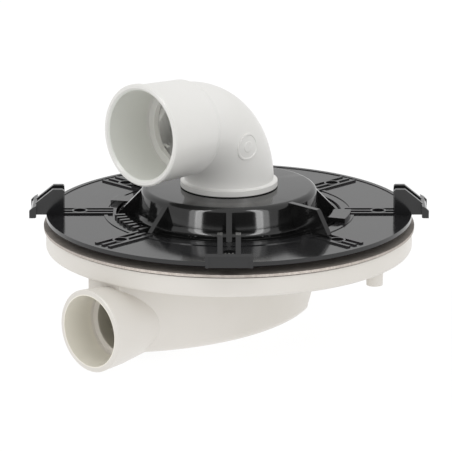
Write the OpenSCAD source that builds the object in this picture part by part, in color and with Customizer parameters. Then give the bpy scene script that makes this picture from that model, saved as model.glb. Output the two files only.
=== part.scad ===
// Shower tray trap: a white drum with a spiral sump and a side outlet, a steel
// clamping plate, a black cover disc with four rim hooks, a gusseted dome cap,
// and an inlet elbow. Millimetres. Z is up, the origin is on the drum's axis
// in the plane that the outlet socket rests on.

/* [Trap body] */
// Outer radius of the drum
drum_r = 104.3; // [100:0.1:110]
// Height of the drum's side
drum_h = 10.9; // [9:0.1:16]
// Rounding under the drum's edge
drum_edge_r = 1.6; // [0.5:0.1:2.5]
// Wall of the body moulding
body_wall = 3; // [2.2:0.1:3.6]
// Depth of the sump under the drum
sump_drop = 39.9; // [36:0.1:44]
// Rounding along the foot of the sump
sump_foot_r = 4; // [3.8:0.1:6]
// Radius of the sump's round bowl, at its foot
bowl_r = 45.3; // [43:0.1:48]
// Radius of the sump's round bowl, under the drum
bowl_top_r = 49.7; // [48:0.1:52]
// Height of the bowl's sloped band above the sump's foot
bowl_band_z = 4.5; // [4:0.1:8]
// Height of the sloped band itself
bowl_band_h = 7.5; // [4:0.1:10]
// Radius of the long curved wall in front of the sump
front_r = 121; // [110:1:135]
// Distance of the long wall's crown from the drum's axis
front_reach = 44.4; // [42:0.1:48]
// Place of that crown along the outlet
front_crown = 22; // [15:1:30]
// Radius of the locating ring for the cup, over the cup
cup_ring_gap = 0.4; // [0.2:0.1:0.8]
// Height of the locating ring
cup_ring_h = 3; // [2:0.5:5]
// Thickness of the locating ring
cup_ring_t = 1.6; // [1.2:0.1:2.4]

/* [Outlet] */
// Direction of the outlet, from the X axis
outlet_az = 225; // [210:0.5:240]
// Distance of the outlet's mouth from the drum's axis plane
outlet_reach = 117.6; // [116:0.1:125]
// Sideways shift of the outlet's axis
outlet_shift = 8.6; // [7:0.1:12]
// Height of the outlet's axis under the drum
outlet_drop = 23.9; // [23:0.1:26]
// Outer radius of the outlet socket
outlet_r = 23.3; // [23:0.1:24]
// Bore radius of the outlet socket, for a 40 mm pipe
outlet_bore_r = 20.15; // [20:0.05:20.4]
// Depth of the outlet socket
outlet_depth = 22; // [18:0.5:25]
// Length of the outlet's collar
collar_len = 15; // [12:0.5:17]
// Draft of the collar along its length
collar_draft = 1; // [0.4:0.1:1.4]
// Outer radius of the neck where it enters the sump
neck_r = 19.4; // [18.8:0.1:20.5]
// Length of the tapered neck
neck_len = 21; // [18:0.5:24]
// Width of the pipe stop in the outlet
outlet_stop = 3.5; // [2:0.1:4]
// Rounding on the outlet's lip
lip_r = 0.8; // [0.4:0.1:1.2]
// Distance of the end wall of the outlet's channel from the drum's axis
channel_reach = 101; // [97:0.1:102]
// Distance of the channel's back wall from the outlet's axis
channel_half_w = 18; // [16:0.5:19]

/* [Feet] */
// Radius of the small peg feet
peg_r = 4.9; // [3:0.1:6]
// Length of the peg feet
peg_len = 9; // [5:0.5:14]
// Distance of the peg feet from the drum's axis
peg_reach = 95; // [88:0.5:97]
// Direction of the first peg foot
peg_az = -31; // [-40:1:-20]
// Number of peg feet, a quarter turn apart
peg_count = 3; // [1:1:3]

/* [Fixing screws] */
// Number of fixing screws
screw_count = 8; // [8]
// Radius of the circle that the screws lie on
screw_ring_r = 85; // [82:0.5:88]
// Radius of the screw's shank
screw_r = 1.95; // [1.5:0.05:2.2]
// Length of the screw's shank
screw_len = 11; // [9:0.5:12]
// Radius of the screw's head
screw_head_r = 3.2; // [2.8:0.1:3.3]
// Height of the screw's head
screw_head_h = 2.4; // [1.5:0.1:2.6]
// Gap between the head and its pocket
screw_head_gap = 0.3; // [0.2:0.05:0.5]
// Gap round the shank in the plate and the gaskets
screw_gap = 0.3; // [0.15:0.05:0.5]
// Outer radius of the brass insert
insert_r = 2.9; // [2.6:0.1:3.2]
// Length of the brass insert
insert_len = 6.5; // [4:0.5:7]
// Gap between the insert's thread and the screw
insert_gap = 0.05; // [0.02:0.01:0.1]
// Wall of the body's screw boss round the insert
boss_wall = 2.6; // [2:0.1:3]

/* [Plate and gaskets] */
// Outer radius of the steel plate
plate_r = 105.5; // [104:0.1:112]
// Radius of the plate's centre hole
plate_bore_r = 74; // [70:0.5:76]
// Thickness of the plate
plate_t = 1.5; // [1:0.1:2]
// Inner radius of both gaskets
gasket_bore_r = 76; // [74:0.5:78]
// Thickness of the gasket under the plate
body_gasket_t = 0.8; // [0.6:0.1:1.5]
// Setback of that gasket from the drum's edge
body_gasket_inset = 0.9; // [0.5:0.1:2]
// Outer radius of the gasket over the plate
cover_gasket_r = 98.3; // [95:0.1:101]
// Thickness of the gasket over the plate
cover_gasket_t = 4.4; // [3.6:0.1:5.5]

/* [Cover disc] */
// Outer radius of the cover disc
disc_r = 104; // [102:0.1:106]
// Thickness of the cover disc
disc_t = 2; // [1.8:0.1:3]
// Width of the bead round the disc's rim
bead_w = 2.4; // [1:0.1:3.5]
// Height of the bead and of the ring ridge
bead_h = 0.4; // [0.2:0.1:0.8]
// Radius of the ring ridge, at its outer edge
ridge_r = 71.4; // [70:0.1:74]
// Width of the ring ridge
ridge_w = 2; // [1:0.1:3]
// Inner radius of the seat for the dome cap
seat_bore_r = 50; // [48:0.5:52]
// Radius of the recess that the dome cap lies in
seat_r = 64.4; // [63:0.1:66]
// Depth of the seat under the disc's face
seat_drop = 4; // [3.4:0.1:4.5]
// Thickness of the seat
seat_t = 1.6; // [1.4:0.1:2.5]
// Number of radial rib groups
rib_groups = 8; // [8]
// Distance between the three ribs of a group
rib_pitch = 5.2; // [4.8:0.1:5.4]
// Width of a rib
rib_w = 1.8; // [1:0.1:2.4]
// Height of a rib
rib_h = 0.9; // [0.5:0.1:1.5]
// Radius where the ribs end
rib_end_r = 99; // [95:0.5:100]

/* [Rim hooks] */
// Number of rim hooks
hook_count = 4; // [4]
// Radius of the hooks' inner edge
hook_in_r = 93.8; // [91:0.1:95]
// Radius where the hooks' flat top ends
hook_top_r = 100; // [98:0.5:102]
// Radius where the hooks' slope ends
hook_slope_r = 110.3; // [108:0.1:111]
// Outermost radius of the hooks
hook_r = 113.2; // [112.5:0.1:116]
// Height of the hooks over the disc
hook_h = 14.7; // [12:0.1:18]
// Height of the slope's lower end over the disc
hook_slope_h = 6.3; // [5:0.1:9]
// Height of the cross bar over the disc
hook_bar_h = 5.8; // [4:0.1:7]
// Reach of the cross bar below the disc's face
hook_bar_drop = 0.3; // [0.2:0.1:1.5]
// Width of the cross bar
hook_bar_w = 26; // [22:0.5:32]
// Distance between the hook's two side plates
hook_gap = 7.1; // [6:0.1:9]
// Thickness of the side plates
hook_plate_t = 2.85; // [2:0.05:3.5]
// Rounding of the hooks' top corner
hook_round_r = 1.2; // [0.5:0.1:2]

/* [Dome cap] */
// Height of the dome's top over the disc's face
dome_h = 15.5; // [14:0.1:19]
// Outer radius of the dome's wall
dome_r = 49.6; // [48:0.1:51]
// Rounding of the dome's upper edge
dome_edge_r = 3; // [2:0.1:4]
// Radius of the hollow at the dome's foot
dome_foot_r = 4; // [2.5:0.1:4.5]
// Wall of the dome
dome_wall = 2.5; // [2:0.1:3.2]
// Gap between the cap's flange and its recess
cap_gap = 0.4; // [0.2:0.1:0.8]
// Thickness of the cap's flange
cap_flange_t = 1.4; // [1.2:0.1:1.8]
// Number of gussets round the dome
gusset_count = 8; // [8]
// Thickness of a gusset
gusset_t = 3.2; // [2:0.1:4]
// Radius of the large grip gussets at their top
grip_top_r = 71; // [68:0.5:74]
// Radius of the large grip gussets at their foot
grip_foot_r = 79; // [76:0.5:80]
// Gap between the grips and the ribs under them
grip_gap = 0.4; // [0.3:0.1:1]
// Radius of the circle that the cap screws lie on
cap_screw_ring_r = 54.3; // [53.8:0.1:55]
// Radius of the cap screws' shank
cap_screw_r = 0.9; // [0.7:0.05:1]
// Radius of the cap screws' head
cap_screw_head_r = 1.5; // [1.3:0.1:1.6]
// Height of the cap screws' head
cap_screw_head_h = 1.1; // [0.8:0.1:1.4]
// Outer radius of the round bosses over the cap screws
cap_boss_r = 2.5; // [2.3:0.1:2.6]
// Height of those bosses over the flange
cap_boss_h = 1.6; // [1.2:0.1:2.4]
// Thickness of the seal under the cap
dome_seal_t = 0.8; // [0.6:0.1:1]
// Width of the seal under the cap
dome_seal_w = 5.5; // [4:0.5:6]

/* [Elbow] */
// Outer radius of the elbow's pipe
pipe_r = 25.4; // [24.5:0.1:25.8]
// Bore of the elbow
pipe_bore_r = 21; // [20:0.1:21.4]
// Radius of the bend's centre line
bend_r = 37; // [35:0.5:40]
// Angle that the bend turns through
bend_angle = 87.5; // [80:0.5:90]
// Direction that the elbow's socket faces
elbow_az = 225; // [210:0.5:240]
// Distance of the socket's mouth from the drum's axis
elbow_reach = 70.2; // [68:0.1:76]
// Radius of the collar on the dome
collar_r = 27.6; // [27.2:0.1:30]
// Thickness of that collar
collar_t = 3; // [2:0.1:4]
// Rounding between the pipe and the collar
collar_fillet_r = 2.2; // [1:0.1:2.6]
// Outer radius of the bead round the socket's mouth
socket_r = 28.7; // [28.4:0.1:30]
// Length of that bead
socket_bead_l = 3; // [2:0.1:5]
// Outer radius of the socket behind the bead
socket_body_r = 28; // [27.8:0.1:28.4]
// Outer radius of the socket at its far end
socket_end_r = 27; // [26.6:0.1:27.6]
// Length over which the socket blends into the bend
socket_blend_l = 4; // [2:0.5:6]
// Bore radius of the elbow's socket, for a 50 mm pipe
socket_bore_r = 25.2; // [25.1:0.05:25.5]
// Depth of the elbow's socket
socket_depth = 31.5; // [26:0.5:32]
// Width of the lead-in chamfer at the socket's mouth
socket_chamfer = 1.3; // [0.5:0.1:1.6]
// Outer radius of the elbow's spigot in the dome
spigot_r = 23.5; // [23:0.1:24]
// Length of the spigot under the dome's top
spigot_len = 20.3; // [18:0.1:24]
// Thickness of the seal under the collar
elbow_gasket_t = 0.6; // [0.4:0.1:1.5]
// Gap between the spigot and the dome's hole
spigot_gap = 0.4; // [0.2:0.1:0.6]
// Radius of the locknut's body
nut_r = 28.5; // [27:0.5:31]
// Height of the locknut
nut_h = 6; // [5:0.5:7]
// Number of lugs on the locknut
nut_lugs = 6; // [4:1:8]
// Reach of the lugs past the nut's body
nut_lug_h = 2.5; // [1.5:0.5:3.5]
// Thickness of the slip washer
washer_t = 1.2; // [0.8:0.1:1.5]

/* [Dip tube and cup] */
// Outer radius of the dip tube
dip_r = 20; // [18:0.5:21]
// Wall of the dip tube and the cup
cup_wall = 2; // [1.5:0.1:2.5]
// Height of the dip tube's socket
dip_socket_h = 8; // [6:0.5:9]
// Gap between the spigot and the dip tube's socket
dip_gap = 0.2; // [0.1:0.05:0.3]
// Gap between the dip tube's mouth and the cup's floor
dip_mouth_gap = 5.7; // [5:0.1:8]
// Section radius of the ring seal on the spigot
ring_seal_r = 0.8; // [0.6:0.05:0.9]
// Outer radius of the trap cup
cup_r = 28; // [27:0.5:30]
// Height of the trap cup
cup_h = 43.7; // [38:0.1:45]

/* [Hidden] */
$fn = 96;

// Overshoot of a cutting tool past the face that it opens
cut = 1;

// Heights of the stack, from the rest plane up
outlet_z = outlet_r;
drum_z = outlet_z + outlet_drop;
drum_top_z = drum_z + drum_h;
plate_z = drum_top_z + body_gasket_t;
plate_top_z = plate_z + plate_t;
disc_z = plate_top_z + cover_gasket_t;
disc_top_z = disc_z + disc_t;
seat_top_z = disc_top_z - seat_drop;
seat_z = seat_top_z - seat_t;
flange_z = seat_top_z + dome_seal_t;
flange_top_z = flange_z + cap_flange_t;
dome_top_z = disc_top_z + dome_h;
collar_z = dome_top_z + elbow_gasket_t;
bend_z = collar_z + collar_t;
sump_z = drum_z - sump_drop;
sump_floor_z = sump_z + body_wall;

// Body: the ring wall inside the gaskets, and the screw bosses
ring_wall_r = gasket_bore_r + body_wall;
boss_r = insert_r + boss_wall;
boss_hole_h = insert_len + 0.6;
neck_x = outlet_reach - collar_len - neck_len;
cavity_end = neck_x + 2 * body_wall;
stop_bore_r = outlet_bore_r - outlet_stop;
trough_ribs = 16;
rib_wall = 2;

// Body: a pad on the long front wall beside the neck, and a round nub under it
pad_x = 68;
pad_w = 8;
pad_t = 1.2;
pad_h = 18.8;
nub_x = 77.5;
nub_r = 2.4;
nub_z = drum_z - pad_h - 1.2;

// Cover: the pockets for the screw heads reach down to the plate
pocket_r = screw_head_r + screw_head_gap;
pocket_wall = 1.1;
pocket_boss_r = pocket_r + pocket_wall;
pocket_floor_t = 2;
pocket_floor_z = plate_top_z + pocket_floor_t;
gasket_hole_gap = 0.3;
screw_hole_r = screw_r + screw_gap;

// Cap: the flange, its two ridges and the screw bosses
cap_r = seat_r - cap_gap;
cap_ridge_w = 1.2;
cap_ridge_h = 1.5;
cap_ridges = [58.2, 62.6];
cap_screw_az = 22.5;
cap_pilot_gap = 0.05;
grips = [1, 5];

// Elbow: the straight part past the bend, and how deep the blends start in the pipe
socket_len = (elbow_reach - bend_r * (1 - cos(bend_angle))) / sin(bend_angle);
blend_sink = 0.4;

// Dip tube and cup: one stands in the other
spigot_z = dome_top_z - spigot_len;
seat_for_nut_z = dome_top_z - dome_wall;
dip_socket_r = spigot_r + dip_gap;
dip_z = sump_floor_z + cup_wall + dip_mouth_gap;
dip_shoulder_z = spigot_z;
ring_seal_z = spigot_z + dip_socket_h / 2;
seal_gap = 0.1;
ring_groove_r = dip_socket_r - 2 * ring_seal_r - seal_gap;

// Places shared by several modules
module at_screws() {
    for (i = [0 : screw_count - 1])
        rotate([0, 0, i * 360 / screw_count]) translate([screw_ring_r, 0, 0]) children();
}

module at_cap_screws() {
    for (i = [0 : gusset_count - 1])
        rotate([0, 0, cap_screw_az + i * 360 / gusset_count])
            translate([cap_screw_ring_r, 0, 0]) children();
}

module along_outlet() {
    rotate([0, 0, outlet_az]) children();
}

module at_outlet() {
    along_outlet() translate([0, outlet_shift, outlet_z]) rotate([0, 90, 0]) children();
}

module ring(r_out, r_in, h) {
    difference() {
        cylinder(r = r_out, h = h);
        translate([0, 0, -cut]) cylinder(r = r_in, h = h + 2 * cut);
    }
}

// Half section of a round tub from the axis out, with a rounded foot
module tub_section(r, z, top, foot) {
    translate([0, z + foot]) square([r, top - z - foot]);
    translate([0, z]) square([r - foot, top - z]);
    translate([r - foot, z + foot]) circle(r = foot, $fn = 48);
}

// Half section of the bowl: a straight foot, a sloped band, and the wall
module bowl_section(k, top) {
    foot = sump_foot_r - k;
    z = sump_z + k;
    band_z = sump_z + bowl_band_z + k / 2;
    tub_section(bowl_r - k, z, band_z + foot, foot);
    polygon([[0, band_z], [bowl_r - k, band_z], [bowl_top_r - k, band_z + bowl_band_h],
        [bowl_top_r - k, top], [0, top]]);
}

// Space of the sump, k inside its outer face: the round bowl and the channel
// to the outlet, cut by the long curved wall in front
module sump_space(k, top, channel_end) {
    foot = sump_foot_r - k;
    along_outlet() intersection() {
        translate([front_crown, front_reach - front_r, 0])
            rotate_extrude($fn = 180) tub_section(front_r - k, sump_z + k, top, foot);
        union() {
            rotate_extrude() bowl_section(k, top);
            translate([0, outlet_shift, 0]) rotate([90, 0, 90]) linear_extrude(channel_end)
                translate([front_reach, 0]) mirror([1, 0])
                    tub_section(front_reach + channel_half_w - k, sump_z + k, top, foot);
        }
    }
}

// Outside of the outlet: lip, drafted collar and tapered neck
module outlet_form() {
    collar_z = outlet_reach - collar_len;
    at_outlet() {
        translate([0, 0, outlet_reach - lip_r]) cylinder(r1 = outlet_r, r2 = outlet_r - lip_r, h = lip_r);
        translate([0, 0, collar_z])
            cylinder(r1 = outlet_r - collar_draft, r2 = outlet_r, h = collar_len - lip_r);
        translate([0, 0, neck_x]) cylinder(r1 = neck_r, r2 = outlet_r - collar_draft, h = neck_len);
    }
}

module outlet_bore() {
    at_outlet() {
        translate([0, 0, outlet_reach - outlet_depth])
            cylinder(r = outlet_bore_r, h = outlet_depth + cut);
        translate([0, 0, neck_x + body_wall])
            cylinder(r = stop_bore_r, h = collar_len + neck_len - body_wall);
    }
}

// Open space of the sump: up to the drum's floor, and through it inside the gaskets
module sump_cavity() {
    sump_space(body_wall, drum_z, cavity_end);
    intersection() {
        sump_space(body_wall, drum_top_z + cut, cavity_end);
        translate([0, 0, sump_z]) cylinder(r = gasket_bore_r, h = drum_top_z);
    }
}

// Pad and nub on the outside of the long front wall
module wall_details() {
    along_outlet() {
        translate([0, 0, drum_z - pad_h]) intersection() {
            translate([front_crown, front_reach - front_r, 0])
                cylinder(r = front_r + pad_t, h = pad_h + body_wall / 2, $fn = 180);
            translate([pad_x, 0, 0]) cube([pad_w, front_reach, pad_h + body_wall / 2]);
        }
        translate([nub_x, front_wall_y(nub_x), nub_z]) sphere(r = nub_r, $fn = 32);
    }
}

module drum_shell() {
    difference() {
        rotate_extrude($fn = 180) tub_section(drum_r, drum_z, drum_top_z, drum_edge_r);
        translate([0, 0, drum_z + body_wall]) cylinder(r = gasket_bore_r, h = drum_h);
        translate([0, 0, drum_z + body_wall]) ring(drum_r - body_wall, ring_wall_r, drum_h);
    }
}

module drum_ribs() {
    for (i = [0 : trough_ribs - 1])
        rotate([0, 0, (i + 0.5) * 360 / trough_ribs])
            translate([ring_wall_r - body_wall / 2, -rib_wall / 2, drum_z + body_wall / 2])
                cube([drum_r - ring_wall_r, rib_wall, drum_h - body_wall]);
}

module trap_body() {
    color("whitesmoke") {
        difference() {
            union() {
                drum_shell();
                drum_ribs();
                at_screws() translate([0, 0, drum_z + body_wall / 2])
                    cylinder(r = boss_r, h = drum_h - body_wall / 2);
                sump_space(0, drum_z + body_wall / 2, channel_reach);
                outlet_form();
                wall_details();
                for (i = [0 : peg_count - 1])
                    rotate([0, 0, peg_az + i * 90]) translate([peg_reach, 0, drum_z - peg_len])
                        cylinder(r1 = peg_r - 0.3, r2 = peg_r, h = peg_len + body_wall / 2);
            }
            sump_cavity();
            outlet_bore();
            at_screws() translate([0, 0, drum_top_z - boss_hole_h])
                cylinder(r = insert_r, h = boss_hole_h + cut);
        }
        translate([0, 0, sump_floor_z - body_wall / 2])
            ring(cup_r + cup_ring_gap + cup_ring_t, cup_r + cup_ring_gap, cup_ring_h + body_wall / 2);
    }
}

// Place of the long front wall, across the outlet, at a distance along it
function front_wall_y(x) = front_reach - front_r + sqrt(pow(front_r, 2) - pow(x - front_crown, 2));

module thread_inserts() {
    color("gold") at_screws() translate([0, 0, drum_top_z - insert_len])
        ring(insert_r, screw_r + insert_gap, insert_len);
}

module body_gasket() {
    color("dimgray") difference() {
        translate([0, 0, drum_top_z]) ring(drum_r - body_gasket_inset, gasket_bore_r, body_gasket_t);
        at_screws() translate([0, 0, drum_top_z - cut])
            cylinder(r = screw_hole_r, h = body_gasket_t + 2 * cut);
    }
}

module steel_plate() {
    color("silver") difference() {
        translate([0, 0, plate_z]) ring(plate_r, plate_bore_r, plate_t);
        at_screws() translate([0, 0, plate_z - cut]) cylinder(r = screw_hole_r, h = plate_t + 2 * cut);
    }
}

module cover_gasket() {
    color([0.09, 0.09, 0.09]) difference() {
        translate([0, 0, plate_top_z]) ring(cover_gasket_r, gasket_bore_r, cover_gasket_t);
        at_screws() translate([0, 0, plate_top_z - cut])
            cylinder(r = pocket_boss_r + gasket_hole_gap, h = cover_gasket_t + 2 * cut);
    }
}

// Side plate of a hook, in the plane through the axis
module hook_plate_outline() {
    r = hook_round_r;
    h = disc_top_z + hook_h;
    difference() {
        polygon([[hook_in_r, disc_z + disc_t / 2], [hook_in_r, h], [hook_top_r, h],
            [hook_slope_r, disc_top_z + hook_slope_h], [hook_slope_r + r, disc_top_z],
            [disc_r - bead_w, disc_top_z], [disc_r - bead_w, disc_z + disc_t / 2]]);
        translate([hook_in_r - cut, h - r]) square([r + cut, r + cut]);
    }
    translate([hook_in_r + r, h - r]) circle(r = r, $fn = 32);
}

// Section of a hook's cross bar
module hook_bar_outline(r_out) {
    polygon([[hook_slope_r - 1, disc_top_z + hook_bar_h + 1], [hook_slope_r + 1, disc_top_z + hook_bar_h],
        [r_out, disc_top_z + hook_bar_h - 1.8], [r_out, disc_top_z - hook_bar_drop],
        [hook_slope_r, disc_top_z - hook_bar_drop], [hook_slope_r - 1, disc_top_z]]);
}

module hook() {
    ear_w = 1.8;
    ear_h = 0.8;
    for (s = [-1, 1])
        translate([0, s * (hook_gap + hook_plate_t) / 2, 0]) rotate([90, 0, 0])
            linear_extrude(hook_plate_t, center = true) hook_plate_outline();
    rotate([90, 0, 0]) linear_extrude(hook_bar_w - 2 * ear_w, center = true)
        hook_bar_outline(hook_r - ear_h);
    for (s = [-1, 1])
        translate([0, s * (hook_bar_w - ear_w) / 2, 0]) rotate([90, 0, 0])
            linear_extrude(ear_w, center = true) hook_bar_outline(hook_r);
    translate([disc_r - bead_w, -hook_gap / 2 - hook_plate_t / 2, disc_top_z])
        cube([hook_slope_r - disc_r + bead_w, hook_gap + hook_plate_t, disc_t / 2]);
    for (y = [-2, 0, 2])
        translate([disc_r, y - 0.4, disc_top_z])
            cube([hook_slope_r - disc_r, 0.8, hook_bar_h]);
}

// Three radial ribs with a screw pocket standing in them
module rib_group() {
    for (y = [-rib_pitch, 0, rib_pitch])
        translate([seat_r + 1.6, y - rib_w / 2, disc_top_z - disc_t / 2])
            cube([rib_end_r - seat_r - 1.6, rib_w, rib_h + disc_t / 2]);
    translate([screw_ring_r, 0, plate_top_z])
        cylinder(r = pocket_boss_r, h = disc_top_z + rib_h - plate_top_z);
}

module screw_pocket() {
    translate([screw_ring_r, 0, pocket_floor_z]) cylinder(r = pocket_r, h = disc_top_z + rib_h);
    translate([screw_ring_r, 0, plate_top_z - cut]) cylinder(r = screw_hole_r, h = pocket_floor_t + 2 * cut);
}

module cover_disc() {
    color([0.13, 0.13, 0.14]) difference() {
        union() {
            translate([0, 0, disc_z]) ring(disc_r, seat_r, disc_t);
            translate([0, 0, disc_z]) ring(disc_r, disc_r - bead_w, disc_t + bead_h);
            translate([0, 0, disc_z]) ring(ridge_r, ridge_r - ridge_w, disc_t + bead_h);
            translate([0, 0, seat_z]) ring(seat_r + disc_t, seat_r, disc_top_z - seat_z);
            translate([0, 0, seat_z]) ring(seat_r + disc_t / 2, seat_bore_r, seat_t);
            for (i = [0 : rib_groups - 1]) rotate([0, 0, i * 360 / rib_groups]) rib_group();
            for (i = [0 : hook_count - 1]) rotate([0, 0, i * 360 / hook_count]) hook();
        }
        for (i = [0 : rib_groups - 1]) rotate([0, 0, i * 360 / rib_groups]) screw_pocket();
        at_cap_screws() translate([0, 0, seat_z - cut])
            cylinder(r = cap_screw_r + cap_pilot_gap, h = seat_t + 2 * cut);
    }
}

// Pan head with a cross recess, its shank down
module screw(shank_r, shank_len, head_r, head_h) {
    slot = head_r * 0.3;
    difference() {
        union() {
            translate([0, 0, -shank_len]) cylinder(r = shank_r, h = shank_len);
            cylinder(r = head_r, h = head_h * 0.6);
            translate([0, 0, head_h * 0.6]) cylinder(r1 = head_r, r2 = head_r * 0.7, h = head_h * 0.4);
        }
        for (a = [0, 90])
            rotate([0, 0, a]) translate([-head_r * 0.62, -slot / 2, head_h * 0.45])
                cube([head_r * 1.24, slot, head_h]);
    }
}

module cover_screws() {
    color("silver") at_screws() translate([0, 0, pocket_floor_z])
        screw(screw_r, screw_len, screw_head_r, screw_head_h);
}

module dome_seal() {
    color([0.09, 0.09, 0.09]) translate([0, 0, seat_top_z])
        ring(cap_r, cap_r - dome_seal_w, dome_seal_t);
}

// Half section of the cap's shell: flange, hollow foot, wall and top
module cap_section() {
    foot = dome_foot_r;
    edge = dome_edge_r;
    difference() {
        union() {
            translate([0, flange_z]) square([cap_r, cap_flange_t]);
            translate([0, flange_z]) square([dome_r + foot, disc_top_z - flange_z]);
            difference() {
                square_foot(foot);
                translate([dome_r + foot, disc_top_z + foot]) circle(r = foot, $fn = 48);
            }
            translate([0, flange_z]) square([dome_r, dome_top_z - edge - flange_z]);
            translate([0, flange_z]) square([dome_r - edge, dome_top_z - flange_z]);
            translate([dome_r - edge, dome_top_z - edge]) circle(r = edge, $fn = 48);
            for (r = cap_ridges)
                translate([r - cap_ridge_w, flange_top_z - cap_ridge_w / 2])
                    square([cap_ridge_w, cap_ridge_h + cap_ridge_w / 2]);
        }
        translate([-cut, flange_z - cut]) square([dome_r - dome_wall + cut, dome_top_z - dome_wall - flange_z + cut]);
        translate([-cut, flange_z]) square([spigot_r + spigot_gap + cut, dome_h + dome_seal_t + seat_drop]);
    }
}

module square_foot(foot) {
    translate([dome_r - dome_wall, disc_top_z - cut]) square([dome_wall + foot, foot + cut]);
}

module gusset() {
    rotate([90, 0, 0]) linear_extrude(gusset_t, center = true)
        polygon([[dome_r - dome_wall / 2, flange_top_z - cap_flange_t / 2], [dome_r - dome_wall / 2, dome_top_z - 1],
            [cap_r - cap_ridge_w, disc_top_z], [cap_r - cap_ridge_w, flange_top_z - cap_flange_t / 2]]);
}

// Large gusset to grip the cap by, standing out over the disc
module grip() {
    foot_z = disc_top_z + rib_h + grip_gap;
    rotate([90, 0, 0]) linear_extrude(gusset_t, center = true)
        polygon([[dome_r - dome_wall / 2, flange_top_z - cap_flange_t / 2], [dome_r - dome_wall / 2, dome_top_z - 0.4],
            [grip_top_r - 1, dome_top_z - 0.4], [grip_top_r, dome_top_z - 1.4], [grip_foot_r, foot_z + 1],
            [grip_foot_r, foot_z], [cap_r - 0.6, foot_z], [cap_r - 0.6, flange_top_z - cap_flange_t / 2]]);
}

module dome_cap() {
    color([0.13, 0.13, 0.14]) difference() {
        union() {
            rotate_extrude() cap_section();
            for (i = [0 : gusset_count - 1])
                rotate([0, 0, i * 360 / gusset_count]) gusset();
            for (i = grips)
                rotate([0, 0, 90 + i * 180 / 4]) grip();
            at_cap_screws() translate([0, 0, flange_z]) cylinder(r = cap_boss_r, h = cap_flange_t + cap_boss_h);
        }
        at_cap_screws() {
            translate([0, 0, flange_z - cut]) cylinder(r = cap_screw_r + screw_gap, h = cap_flange_t + 2 * cut);
            translate([0, 0, flange_top_z]) cylinder(r = cap_screw_head_r + 0.15, h = cap_boss_h + cut);
        }
    }
}

module dome_screws() {
    color("dimgray") at_cap_screws() translate([0, 0, flange_top_z])
        screw(cap_screw_r, flange_top_z - seat_z, cap_screw_head_r, cap_screw_head_h);
}

module elbow_gasket() {
    color([0.09, 0.09, 0.09]) translate([0, 0, dome_top_z])
        ring(collar_r - 0.5, spigot_r + spigot_gap, elbow_gasket_t);
}

// The elbow's bend as a solid bar, and the place of its end
module bend(r) {
    translate([bend_r, 0, bend_z]) rotate([90, 0, 180]) rotate_extrude(angle = bend_angle)
        translate([bend_r, 0]) circle(r = r);
}

module at_bend_end() {
    translate([bend_r * (1 - cos(bend_angle)), 0, bend_z + bend_r * sin(bend_angle)])
        rotate([0, bend_angle, 0]) children();
}

// Outside of the socket, from the bend to the beaded mouth
module socket_form() {
    bead_z = socket_len - socket_bead_l;
    translate([0, 0, -socket_blend_l])
        cylinder(r1 = pipe_r - blend_sink, r2 = socket_end_r, h = socket_blend_l);
    cylinder(r1 = socket_end_r, r2 = socket_body_r, h = bead_z);
    translate([0, 0, bead_z - lip_r]) cylinder(r1 = socket_body_r - lip_r / 2, r2 = socket_r, h = lip_r);
    translate([0, 0, bead_z]) cylinder(r = socket_r, h = socket_bead_l - lip_r);
    translate([0, 0, socket_len - lip_r]) cylinder(r1 = socket_r, r2 = socket_r - lip_r, h = lip_r);
}

// Hollow rounding round the pipe's foot, its top edge sunk in the pipe
module collar_fillet() {
    size = collar_fillet_r + cut;
    rotate_extrude() translate([pipe_r - blend_sink - cut, collar_z + collar_t - cut]) difference() {
        square([size, size]);
        translate([size, size]) circle(r = collar_fillet_r, $fn = 48);
    }
}

module elbow_form() {
    translate([0, 0, spigot_z]) cylinder(r = spigot_r, h = collar_z - spigot_z + collar_t / 2);
    translate([0, 0, collar_z]) cylinder(r = collar_r, h = collar_t);
    collar_fillet();
    rotate([0, 0, elbow_az]) {
        bend(pipe_r);
        at_bend_end() socket_form();
    }
}

module elbow_bore() {
    translate([0, 0, spigot_z - cut]) cylinder(r = pipe_bore_r, h = bend_z - spigot_z + cut);
    rotate([0, 0, elbow_az]) {
        bend(pipe_bore_r);
        at_bend_end() {
            cylinder(r = pipe_bore_r, h = socket_len);
            translate([0, 0, socket_len - socket_depth]) cylinder(r = socket_bore_r, h = socket_depth + cut);
            translate([0, 0, socket_len - socket_chamfer])
                cylinder(r1 = socket_bore_r, r2 = socket_bore_r + socket_chamfer + cut, h = socket_chamfer + cut);
        }
    }
}

module inlet_elbow() {
    color("whitesmoke") difference() {
        union() { elbow_form(); }
        union() { elbow_bore(); }
        translate([0, 0, ring_seal_z - ring_seal_r - seal_gap])
            ring(spigot_r + cut, ring_groove_r, 2 * (ring_seal_r + seal_gap));
    }
}

module elbow_locknut() {
    color("dimgray") translate([0, 0, seat_for_nut_z - washer_t - nut_h]) difference() {
        union() {
            cylinder(r = nut_r, h = nut_h);
            for (i = [0 : nut_lugs - 1])
                rotate([0, 0, i * 360 / nut_lugs]) translate([nut_r - 1, -2.5, 0])
                    cube([nut_lug_h + 1, 5, nut_h]);
        }
        translate([0, 0, -cut]) cylinder(r = spigot_r + 0.1, h = nut_h + 2 * cut);
    }
}

module locknut_washer() {
    color("ivory") translate([0, 0, seat_for_nut_z - washer_t])
        ring(nut_r + nut_lug_h, spigot_r + spigot_gap, washer_t);
}

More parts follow.
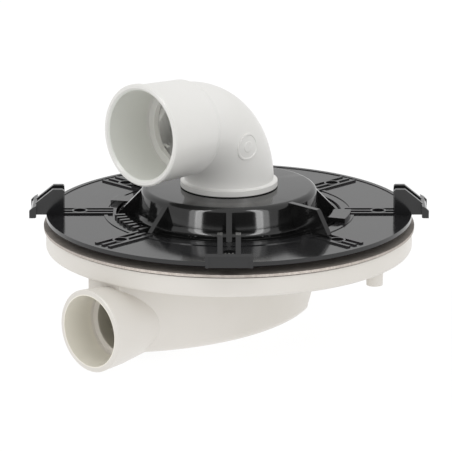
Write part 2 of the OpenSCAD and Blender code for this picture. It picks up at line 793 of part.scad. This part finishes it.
module dip_tube() {
    color("whitesmoke") difference() {
        union() {
            translate([0, 0, dip_shoulder_z - cup_wall])
                cylinder(r = dip_socket_r + cup_wall, h = dip_socket_h + cup_wall);
            translate([0, 0, dip_z]) cylinder(r = dip_r, h = dip_shoulder_z - dip_z);
        }
        translate([0, 0, dip_z - cut]) cylinder(r = dip_r - cup_wall, h = dip_shoulder_z - dip_z + 2 * cut);
        translate([0, 0, dip_shoulder_z]) cylinder(r = dip_socket_r, h = dip_socket_h + cut);
    }
}

module dip_tube_seal() {
    color([0.09, 0.09, 0.09]) translate([0, 0, ring_seal_z]) rotate_extrude()
        translate([ring_groove_r + seal_gap / 2 + ring_seal_r, 0]) circle(r = ring_seal_r, $fn = 32);
}

module trap_cup() {
    color("whitesmoke") translate([0, 0, sump_floor_z]) difference() {
        cylinder(r = cup_r, h = cup_h);
        translate([0, 0, cup_wall]) cylinder(r = cup_r - cup_wall, h = cup_h);
    }
}

trap_body();
thread_inserts();
body_gasket();
steel_plate();
cover_gasket();
cover_disc();
cover_screws();
dome_seal();
dome_cap();
dome_screws();
elbow_gasket();
inlet_elbow();
elbow_locknut();
locknut_washer();
dip_tube();
dip_tube_seal();
trap_cup();
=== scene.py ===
"""Looks of the shower tray trap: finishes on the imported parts, small trim, studio and camera."""
import math
import bmesh
import bpy
from mathutils import Matrix, Vector


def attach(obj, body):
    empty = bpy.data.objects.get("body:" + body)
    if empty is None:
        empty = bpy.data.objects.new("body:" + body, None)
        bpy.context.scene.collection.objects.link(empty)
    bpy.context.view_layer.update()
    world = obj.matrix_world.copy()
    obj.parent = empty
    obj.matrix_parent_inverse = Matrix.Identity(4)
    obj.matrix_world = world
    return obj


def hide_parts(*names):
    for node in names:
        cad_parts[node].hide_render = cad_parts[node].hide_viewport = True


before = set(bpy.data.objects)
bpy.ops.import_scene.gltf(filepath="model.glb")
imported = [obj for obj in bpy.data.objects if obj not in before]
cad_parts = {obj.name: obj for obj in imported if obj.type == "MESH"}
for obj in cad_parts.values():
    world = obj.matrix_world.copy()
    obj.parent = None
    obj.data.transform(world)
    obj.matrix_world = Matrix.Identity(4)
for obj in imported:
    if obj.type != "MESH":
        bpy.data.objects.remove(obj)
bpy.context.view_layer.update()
MM = 0.001

# Sockets of a Mix node that is set to colour
MIX_FACTOR, MIX_FIRST, MIX_SECOND, MIX_RESULT = 0, 6, 7, 2


# Shader maths
class Wire:
    """One value in a finish. Its operators add Math nodes to the finish's tree."""

    def __init__(self, tree, socket):
        self.tree = tree
        self.socket = socket

    def math(self, operation, *values):
        return add_node(self.tree, "ShaderNodeMath", {"operation": operation}, dict(enumerate(values)))

    def __add__(self, other):
        return self.math("ADD", self, other)

    __radd__ = __add__

    def __sub__(self, other):
        return self.math("SUBTRACT", self, other)

    def __rsub__(self, other):
        return self.math("SUBTRACT", other, self)

    def __mul__(self, other):
        return self.math("MULTIPLY", self, other)

    __rmul__ = __mul__

    def __truediv__(self, other):
        return self.math("DIVIDE", self, other)

    def __pow__(self, other):
        return self.math("POWER", self, other)

    def at_least(self, other):
        return self.math("MAXIMUM", self, other)

    def step(self, low, high):
        """0 below low, 1 above high, smooth between."""
        return add_node(self.tree, "ShaderNodeMapRange", {"interpolation_type": "SMOOTHSTEP"},
                        {"Value": self, "From Min": low, "From Max": high, "To Min": 0.0, "To Max": 1.0})


def add_node(tree, kind, settings, inputs, output=0):
    """Adds a node, sets it up, feeds its sockets and returns one of its outputs."""
    node = tree.nodes.new(kind)
    for name, value in settings.items():
        setattr(node, name, value)
    for place, value in inputs.items():
        socket = node.inputs[place]
        if isinstance(value, Wire):
            tree.links.new(value.socket, socket)
        else:
            socket.default_value = value
    return Wire(tree, node.outputs[output]) if node.outputs else None


class Finish:
    """A material under construction, with the patterns that several finishes share."""

    def __init__(self, name):
        self.material = bpy.data.materials.new(name)
        self.material.use_nodes = True
        self.tree = self.material.node_tree
        self.tree.nodes.clear()
        self.place = self.node("ShaderNodeTexCoord", output="Object")

    def node(self, kind, settings=None, inputs=None, output=0):
        return add_node(self.tree, kind, settings or {}, inputs or {}, output)

    def noise(self, scale, detail=3.0, roughness=0.5, stretch=(1, 1, 1)):
        where = self.node("ShaderNodeMapping", inputs={"Vector": self.place, "Scale": stretch})
        return self.node("ShaderNodeTexNoise", {}, {"Vector": where, "Scale": scale, "Detail": detail,
                                                   "Roughness": roughness}, "Fac")

    def mix(self, factor, first, second):
        return self.node("ShaderNodeMix", {"data_type": "RGBA"},
                         {MIX_FACTOR: factor, MIX_FIRST: first, MIX_SECOND: second}, MIX_RESULT)

    def vector_math(self, operation, first, second=(0, 0, 0), output="Vector"):
        return self.node("ShaderNodeVectorMath", {"operation": operation}, {0: first, 1: second},
                         output)

    def bump(self, height, distance, strength=1.0):
        return self.node("ShaderNodeBump", {}, {"Height": height, "Distance": distance,
                                                "Strength": strength}, "Normal")

    def shade(self, **sockets):
        fixed = {name.replace("_", " "): value for name, value in sockets.items()}
        surface = self.node("ShaderNodeBsdfPrincipled", {}, fixed)
        self.node("ShaderNodeOutputMaterial", {}, {"Surface": surface})
        return self.material


def colour(red, green, blue):
    """Display values from 0 to 255, as the linear colour that a socket takes."""
    def linear(value):
        value /= 255
        return value / 12.92 if value <= 0.04045 else ((value + 0.055) / 1.055) ** 2.4
    return (linear(red), linear(green), linear(blue), 1.0)


def within_bore(f, middle, axis, reach, radius):
    """Two masks for painted light and shade in a bore: 1 inside a socket, up to radius from its axis
    and down to reach behind its middle, and 1 in the 40 mm of narrower bore behind that, which is
    3 mm less in radius."""
    narrow = radius - 0.003
    from_middle = f.vector_math("SUBTRACT", f.place, middle)
    along = f.vector_math("DOT_PRODUCT", from_middle, axis, output="Value")
    out = f.vector_math("LENGTH", f.vector_math("CROSS_PRODUCT", from_middle, axis), output="Value")
    shade_band_behind = (1.0 - along.step(-reach - 0.002, -reach)) * along.step(-reach - 0.042, -reach - 0.04)
    return (along.step(-reach, 0.003 - reach) * (1.0 - out.step(radius, radius + 0.0005)),
            shade_band_behind * (1.0 - out.step(narrow - 0.0005, narrow)))


def white_moulding(name, light, shadow, roughness, socket=None, socket_painted_tone=None, bore_painted_shade=None):
    """Satin white plastic: a faint mottle, a fine moulded skin and a few dull smears.

    Its socket and the bore behind it get tones of their own, which paint the light and shade of those
    hollows: painted shade deep in the bore, and in the socket the lighter or darker tone that the caller
    gives."""
    f = Finish(name)
    mottle = f.noise(18.0, 4.0)
    smear = f.noise(60.0, 2.0, stretch=(1, 1, 3)).step(0.5, 0.75)
    base = f.mix(mottle.step(0.35, 0.7), light, shadow)
    if socket:
        painted_mouth_mask, shade_band_behind = within_bore(f, *socket)
        # painted tone inside the socket: painted shade for the inlet, painted light for the outlet
        base = f.mix(painted_mouth_mask, base, socket_painted_tone)
        # painted shade deep in the bore
        if bore_painted_shade:
            base = f.mix(shade_band_behind, base, bore_painted_shade)
    skin = f.noise(900.0, 2.0)
    wave = f.noise(16.0, 0.0)
    return f.shade(Base_Color=base, Roughness=roughness + smear * 0.06, IOR=1.46,
                   Normal=f.bump(skin * 0.05 + wave, 0.00008, 0.5))


def black_moulding(name, tone, gloss):
    """Polished black plastic with slow waves in its shine and a trace of dust."""
    f = Finish(name)
    wave = f.noise(22.0, 1.0)
    dust = f.noise(700.0, 3.0, 0.7).step(0.62, 0.8)
    cloud = f.noise(30.0, 3.0).step(0.4, 0.75)
    base = f.mix(dust * cloud * 0.35, tone, colour(62, 61, 60))
    return f.shade(Base_Color=base, Roughness=gloss + cloud * 0.03 + dust * 0.06, IOR=1.5,
                   Normal=f.bump(wave, 0.00005))


def brushed_steel(name):
    """Stainless sheet, brushed along one direction."""
    f = Finish(name)
    brush = f.noise(90.0, 4.0, 0.6, stretch=(1, 28, 1))
    tone = f.mix(brush.step(0.3, 0.7), colour(168, 160, 153), colour(194, 187, 180))
    return f.shade(Base_Color=tone, Metallic=1.0, Roughness=0.5 + brush * 0.12,
                   Normal=f.bump(brush, 0.00003, 0.6))


def dull_rubber(name, tone):
    """Matt rubber with a fine grain and a greyish bloom in places."""
    f = Finish(name)
    grain = f.noise(1400.0, 3.0)
    bloom = f.noise(40.0, 3.0).step(0.4, 0.8)
    return f.shade(Base_Color=f.mix(bloom * 0.4, tone, colour(70, 69, 68)),
                   Roughness=0.62 + grain * 0.2, Normal=f.bump(grain, 0.00004, 0.6))


def turned_metal(name, light, dark, roughness):
    """Metal with fine rings across Z, as a lathe leaves them."""
    f = Finish(name)
    rings = f.noise(260.0, 3.0, stretch=(0.2, 0.2, 6))
    return f.shade(Base_Color=f.mix(rings.step(0.35, 0.65), light, dark), Metallic=1.0,
                   Roughness=roughness + rings * 0.12, Normal=f.bump(rings, 0.00003, 0.5))


def plain_plastic(name, light, dark):
    """Dull plastic with a fine grain and a faint mottle."""
    f = Finish(name)
    grain = f.noise(500.0, 2.0)
    return f.shade(Base_Color=f.mix(f.noise(30.0).step(0.35, 0.7), light, dark),
                   Roughness=0.42 + grain * 0.12, Normal=f.bump(grain, 0.00004, 0.5))


# Each socket: middle of its bore, its axis, how far the painted tone reaches in, and its radius
INLET = ((-0.038053, -0.038053, 0.123669), (-0.706434, -0.706434, 0.043619), 0.0148, 0.0255)
OUTLET = ((-0.069296, -0.081459, 0.0233), (-0.707107, -0.707107, 0.0), 0.0106, 0.0204)
# Outlet: the lighter socket tone is painted light in its mouth, the darker bore tone painted shade deep
# in its bore
body_white = white_moulding("warm_white_body", colour(222, 218, 212), colour(217, 213, 206), 0.36,
                            OUTLET, colour(238, 234, 222), colour(176, 172, 160))
# Inlet: the darker socket tone is painted shade inside its socket
elbow_white = white_moulding("cool_white_elbow", colour(227, 226, 223), colour(223, 222, 218), 0.3,
                             INLET, colour(220, 221, 215))
inner_white = white_moulding("white_inside_parts", colour(226, 223, 218), colour(220, 217, 212),
                             0.35)
cover_black = black_moulding("polished_black_cover", colour(33, 33, 34), 0.11)
cap_black = black_moulding("polished_black_cap", colour(26, 26, 26), 0.09)

FINISHES = {
    "trap_body": body_white,
    "inlet_elbow": elbow_white,
    "dip_tube": inner_white,
    "trap_cup": inner_white,
    "cover_disc": cover_black,
    "dome_cap": cap_black,
    "steel_plate": brushed_steel("brushed_steel_sheet"),
    "body_gasket": dull_rubber("grey_gasket_rubber", colour(58, 58, 58)),
    "cover_gasket": dull_rubber("black_gasket_rubber", colour(24, 24, 24)),
    "dome_seal": dull_rubber("black_seal_rubber", colour(24, 24, 24)),
    "elbow_gasket": dull_rubber("black_collar_rubber", colour(26, 26, 26)),
    "dip_tube_seal": dull_rubber("black_ring_rubber", colour(24, 24, 24)),
    "thread_inserts": turned_metal("turned_brass", colour(212, 178, 96), colour(190, 152, 74), 0.24),
    "cover_screws": turned_metal("bright_screw_steel", colour(200, 200, 200), colour(170, 170, 170),
                                 0.22),
    "dome_screws": turned_metal("dark_screw_steel", colour(92, 92, 94), colour(70, 70, 72), 0.3),
    "elbow_locknut": plain_plastic("grey_nut_plastic", colour(150, 150, 150), colour(140, 140, 140)),
    "locknut_washer": plain_plastic("natural_washer_plastic", colour(226, 224, 214),
                                    colour(216, 214, 204)),
}
for node_name, finish in FINISHES.items():
    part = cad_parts[node_name]
    part.data.materials.clear()
    part.data.materials.append(finish)


# Trim and pieces that stand for a packed one
def finish_piece(shape, name, finish, node=None):
    """Turns a bmesh into a piece that rides on the trap, and stands for a node if one is given."""
    bmesh.ops.recalc_face_normals(shape, faces=shape.faces)
    mesh = bpy.data.meshes.new(name)
    shape.to_mesh(mesh)
    shape.free()
    mesh.materials.append(finish)
    piece = bpy.data.objects.new(name, mesh)
    bpy.context.scene.collection.objects.link(piece)
    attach(piece, "root")
    if node:
        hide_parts(node)


def section(shape, corners, round_off):
    """A face in the XZ plane through corners in mm, with its corners rounded."""
    points = [shape.verts.new((x * MM, 0, z * MM)) for x, z in corners]
    shape.faces.new(points)
    bmesh.ops.bevel(shape, geom=points, affect="VERTICES", offset=round_off * MM, segments=3,
                    profile=0.5, material=-1)


def turn(shape, start, sweep, steps):
    """Spins what is in the bmesh about Z, from start over sweep in degrees, and closes its ends."""
    bmesh.ops.rotate(shape, verts=shape.verts, cent=(0, 0, 0),
                     matrix=Matrix.Rotation(math.radians(start), 3, "Z"))
    if sweep == 360:
        bmesh.ops.delete(shape, geom=shape.faces[:], context="FACES_ONLY")
    bmesh.ops.spin(shape, geom=shape.verts[:] + shape.edges[:] + shape.faces[:], cent=(0, 0, 0),
                   axis=(0, 0, 1), angle=math.radians(sweep), steps=steps, use_merge=sweep == 360)
    bmesh.ops.holes_fill(shape, edges=[e for e in shape.edges if e.is_boundary], sides=0)


def narrow_gasket():
    """The gasket under the cover, with its rim set back so that the steel shows in the gap."""
    rim = 90.7 * MM
    shape = bmesh.new()
    shape.from_mesh(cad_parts["cover_gasket"].data)
    for point in shape.verts:
        out = math.hypot(point.co.x, point.co.y)
        if out > rim:
            point.co.xy *= rim / out
    finish_piece(shape, "cover_gasket_ring", FINISHES["cover_gasket"], "cover_gasket")


def leaning_cap():
    """The cap with its dome's wall leaning in to the top, and its foot set out to suit.

    The foot's fillet takes up the shift between the wall and the flange. The bore stays upright."""
    lean, roof, wall_foot = 0.158, 82.3, 70.8
    bore, flange_top, foot_edge, fillet = 47.3, 66, 53.6, 3.95
    shape = bmesh.new()
    shape.from_mesh(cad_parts["dome_cap"].data)
    bmesh.ops.remove_doubles(shape, verts=shape.verts, dist=0.001 * MM)
    for point in shape.verts:
        out, height = math.hypot(point.co.x, point.co.y) / MM, point.co.z / MM
        fade = min(1, max(0, (foot_edge - out) / fillet))
        if out > bore and height > flange_top and fade:
            point.co.xy *= 1 + lean * (roof - max(height, wall_foot)) * fade / out
    crease = math.radians(30)
    for edge in shape.edges:
        edge.smooth = len(edge.link_faces) == 2 and edge.calc_face_angle() < crease
    for face in shape.faces:
        face.smooth = True
    finish_piece(shape, "dome_cap_moulding", cap_black, "dome_cap")


def flange_blocks():
    """Low blocks on the rim of the cap's flange, and a toothed bar with a ridge to each tooth."""
    # Name, where it starts and how far it goes in degrees, inner and outer radius, and top in mm
    blocks = [("right_block", -20, 17, 59, 69.5, 69.3), ("rear_block", 156, 10, 59, 70, 69.0),
              ("toothed_bar", 189, 33, 60, 65.5, 67.6)]
    teeth, first_tooth, tooth_pitch, tooth_sweep = 7, 190, 4.9, 2.0
    for name, start, sweep, inner, outer, top in blocks:
        shape = bmesh.new()
        section(shape, [(inner, 66.2), (outer, 66.2), (outer, top), (inner, top)], 0.4)
        turn(shape, start, sweep, 20)
        finish_piece(shape, name, cap_black)
    for tooth in range(teeth):
        shape = bmesh.new()
        section(shape, [(59.6, 66.4), (65.9, 66.4), (65.9, 68.6), (59.6, 68.6)], 0.4)
        turn(shape, first_tooth + tooth * tooth_pitch, tooth_sweep, 4)
        finish_piece(shape, f"bar_tooth_{tooth}", cap_black)


def bend_pad():
    """Plain round pad with a raised rim on the side of the bend, curved as the pipe is."""
    pipe, middle = 25.4 * MM, Vector((-7.34, -7.34, 111.6)) * MM
    out, across = Vector((1, -1, 0)).normalized(), Vector((1, 1, 1.4142)).normalized()
    shape = bmesh.new()
    section(shape, [(0.05, -0.6), (7.9, -0.6), (7.7, 0.6), (6.8, 0.6), (6.4, 0.25), (3.2, 0.25),
                    (2.9, 0.5), (0.05, 0.5)], 0.1)
    turn(shape, 0, 360, 48)
    along = out.cross(across)
    for point in shape.verts:
        side, length, height = point.co
        bulge = math.sqrt(pipe ** 2 - side ** 2)
        point.co = middle + out * (bulge + height) + across * side + along * length
    finish_piece(shape, "bend_pad", elbow_white)


narrow_gasket()
leaning_cap()
flange_blocks()
bend_pad()


# Studio
def light_path(tree, kind):
    return add_node(tree, "ShaderNodeLightPath", {}, {}, kind)


def studio_floor():
    """A plain white floor that hardly takes a shadow, as a lit studio table does."""
    shape = bmesh.new()
    bmesh.ops.create_grid(shape, x_segments=1, y_segments=1, size=4.0)
    bmesh.ops.translate(shape, verts=shape.verts, vec=(0, 1.5, -0.0002))
    mesh = bpy.data.meshes.new("studio_floor")
    shape.to_mesh(mesh)
    shape.free()
    floor = bpy.data.objects.new("studio_floor", mesh)
    bpy.context.scene.collection.objects.link(floor)
    f = Finish("pale_floor")
    mesh.materials.append(f.shade(Base_Color=(0.1, 0.1, 0.1, 1.0), Roughness=0.9,
                                  Specular_IOR_Level=0.0, Emission_Color=(1.0, 1.0, 1.0, 1.0),
                                  Emission_Strength=0.93))


def softbox(name, azimuth, near, far, height, width, power):
    """A tall strip light that leans over the trap. Azimuth is in degrees from the front, to the
    right. Its foot stands far out and its head hangs near, at height, all in metres."""
    lamp = bpy.data.lights.new(name, "AREA")
    lamp.shape = "RECTANGLE"
    swing = Matrix.Rotation(math.radians(azimuth), 4, "Z")
    foot = swing @ Vector((0, -far, 0))
    head = swing @ Vector((0, -near, height))
    lamp.size, lamp.size_y = width, (head - foot).length
    lamp.energy = power
    box = bpy.data.objects.new(name, lamp)
    up = (head - foot).normalized()
    side = up.cross(Vector((0, 0, 1))).normalized()
    back = side.cross(up)
    if back.dot(foot) < 0:
        side, back = -side, -back
    facing = Matrix((side, up, back)).transposed().to_4x4()
    box.matrix_world = Matrix.Translation((foot + head) / 2) @ facing
    box.visible_camera = False
    box.visible_diffuse = False
    bpy.context.scene.collection.objects.link(box)


def studio_surround():
    """White walls all round, and the dark end of the room low down in front.

    Gloss sees the walls as they stand. Matt surfaces take an even, slightly brighter top light."""
    world = bpy.data.worlds.new("white_studio")
    bpy.context.scene.world = world
    world.use_nodes = True
    tree = world.node_tree
    tree.nodes.clear()
    way = add_node(tree, "ShaderNodeTexCoord", {}, {}, "Generated")
    split = add_node(tree, "ShaderNodeSeparateXYZ", {}, {"Vector": way})
    outs = split.socket.node.outputs
    x, y, z = (Wire(tree, outs[i]) for i in range(3))
    front = y * -1.0 / (x * x + y * y).at_least(0.0001) ** 0.5
    dark = front.step(0.80, 0.87) * (1.0 - z.step(0.40, 0.58))
    walls = 0.82 + front.step(-0.2, 0.6) * 0.08 + z.step(0.4, 0.8) * 0.1 - dark * 0.84
    matt = 0.86 + z.step(0.0, 1.0) * 0.34
    glossy = light_path(tree, "Is Glossy Ray")
    seen = light_path(tree, "Is Camera Ray")
    level = matt + glossy * (walls - matt)
    back = add_node(tree, "ShaderNodeBackground", {}, {"Color": (1, 1, 1, 1),
                                                       "Strength": level + seen * (1.0 - level)})
    add_node(tree, "ShaderNodeOutputWorld", {}, {"Surface": back})


studio_floor()
studio_surround()
for label, side in (("left", -1), ("right", 1)):
    softbox(label + "_strip", side * 38.0, near=0.75, far=1.15, height=1.4, width=0.17, power=5.4)
    softbox(label + "_wide_strip", side * 46.0, near=0.80, far=1.20, height=1.4, width=0.20,
            power=2.5)

# Camera, fitted to the photo
PHOTO_WIDTH, FOCAL_LENGTH = 452, 3906.5  # pixels
LOOKS_DOWN = 15.85  # degrees
lens = bpy.data.cameras.new("camera")
lens.sensor_width = 36
lens.lens = FOCAL_LENGTH / PHOTO_WIDTH * lens.sensor_width
camera = bpy.data.objects.new("camera", lens)
camera.location = (-1.72 * MM, -2143.3 * MM, 666.8 * MM)
camera.rotation_euler = (math.radians(90 - LOOKS_DOWN), 0, 0)
bpy.context.scene.collection.objects.link(camera)
bpy.context.scene.camera = camera
bpy.context.scene.view_settings.view_transform = "Standard"
